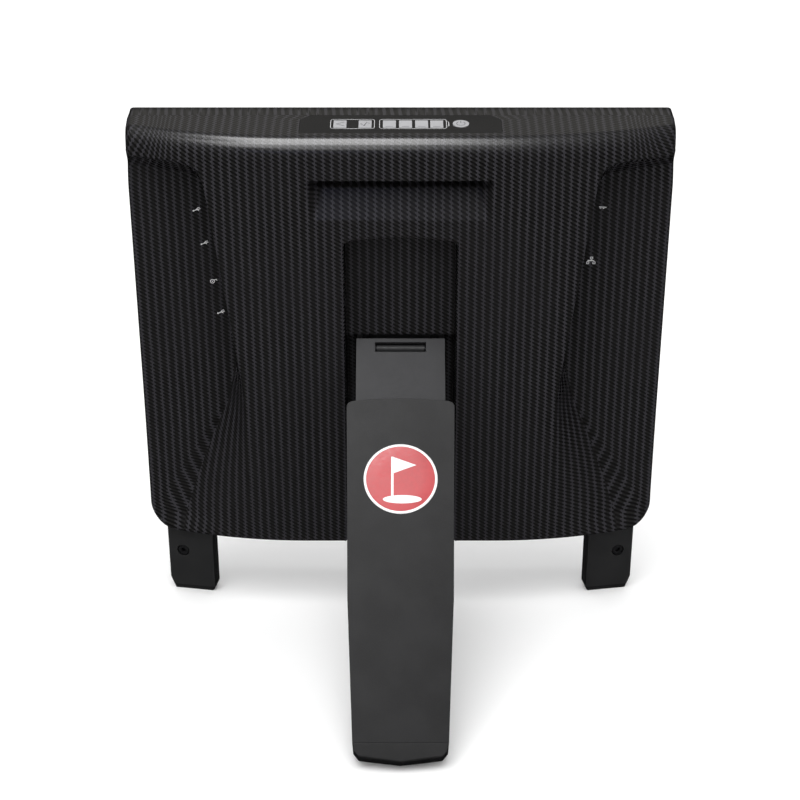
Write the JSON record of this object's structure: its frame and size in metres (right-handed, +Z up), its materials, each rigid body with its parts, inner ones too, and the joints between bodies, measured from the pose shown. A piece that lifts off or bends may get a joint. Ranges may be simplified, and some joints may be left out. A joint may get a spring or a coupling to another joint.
{
  "type": "portable radar launch monitor",
  "caption": "Golf launch monitor: leaning radar housing with side port bays, finger grip, top keypad, two screwed feet and a folding, sliding rear leg.",
  "frame": {"origin": "middle of the footprint on the ground, centred on the whole object's box", "axes": "+X to the right seen from behind, -Y the rear side where the leg stands, +Y the measuring side, +Z up"},
  "size_m": [0.326, 0.2441, 0.3272],
  "materials": {
    "carbon_shell": "dark twill fibre weave under a clear gloss coat",
    "radome": "fine satin moulded texture",
    "seal_rubber": "matte",
    "sheet_aluminium": "brushed, bead-blasted",
    "circuit_board": "solder mask with copper traces",
    "gold_copper": "gold-plated copper",
    "tinned_can": "tinned steel",
    "battery_wrap": "shrink film",
    "lens_glass": "dark coated glass",
    "lens_barrel": "matte black",
    "keypad_film": "satin printed film",
    "light_pipe": "frosted diffuser",
    "black_plastic": "moulded satin",
    "steel_pin": "ground",
    "black_screw": "black oxide",
    "leg_plate": "satin anodised",
    "leg_shell": "fine textured powder coat",
    "acetal": "natural acetal",
    "badge_red": "printed enamel",
    "foot_rubber": "moulded rubber"
  },
  "bodies": {
    "housing": {"front_cover": "radome", "rear_shell": "carbon_shell", "housing_gasket": "seal_rubber", "chassis": "sheet_aluminium", "radar_board": "circuit_board", "antenna_patches": "gold_copper", "radar_shield": "tinned_can", "radar_standoffs": "gold_copper", "main_board": "circuit_board", "heat_spreader": "sheet_aluminium", "wifi_antenna": "gold_copper", "battery_pack": "battery_wrap", "battery_bracket": "sheet_aluminium", "power_board": "circuit_board", "camera_window": "lens_glass", "camera_lens": "lens_barrel", "camera_board": "circuit_board", "keypad_label": "keypad_film", "button_dome": "tinned_can", "keypad_board": "circuit_board", "battery_lights": "light_pipe", "status_lights": "light_pipe", "left_port_panel": "black_plastic", "right_port_panel": "black_plastic", "usb_sockets": "tinned_can", "sync_socket": "lens_barrel", "dc_socket": "lens_barrel", "ethernet_socket": "tinned_can", "left_port_board": "circuit_board", "right_port_board": "circuit_board", "hinge_bracket": "black_plastic", "hinge_pin": "steel_pin", "friction_washers": "gold_copper", "hinge_screws": "black_screw", "left_foot": "black_plastic", "right_foot": "black_plastic", "foot_brackets": "sheet_aluminium", "foot_soles": "foot_rubber", "foot_screws": "black_screw", "cover_screws": "black_screw", "shell_screws": "black_screw"},
    "leg": {"inner_plate": "leg_plate", "slide_stop": "acetal"},
    "sleeve": {"leg_sleeve": "leg_shell", "slide_guides": "acetal", "leg_badge": "badge_red", "leg_foot": "foot_rubber"},
    "power_key": {"power_button": "light_pipe"}
  },
  "joints": [
    {"name": "leg_fold", "type": "hinge", "parent": "housing", "child": "leg", "pos_m": [0, 0.06509, 0.18234], "axis": [1, 0, 0], "range_deg": [0, 51.5]},
    {"name": "leg_slide", "type": "slide", "parent": "leg", "child": "sleeve", "axis": [0, 0.7133, 0.7009], "range_m": [0, 0.026]},
    {"name": "power_press", "type": "slide", "parent": "housing", "child": "power_key", "axis": [0, 0.1908, -0.9816], "range_m": [0, 0.0008], "stiffness_N_per_m": 400}
  ]
}
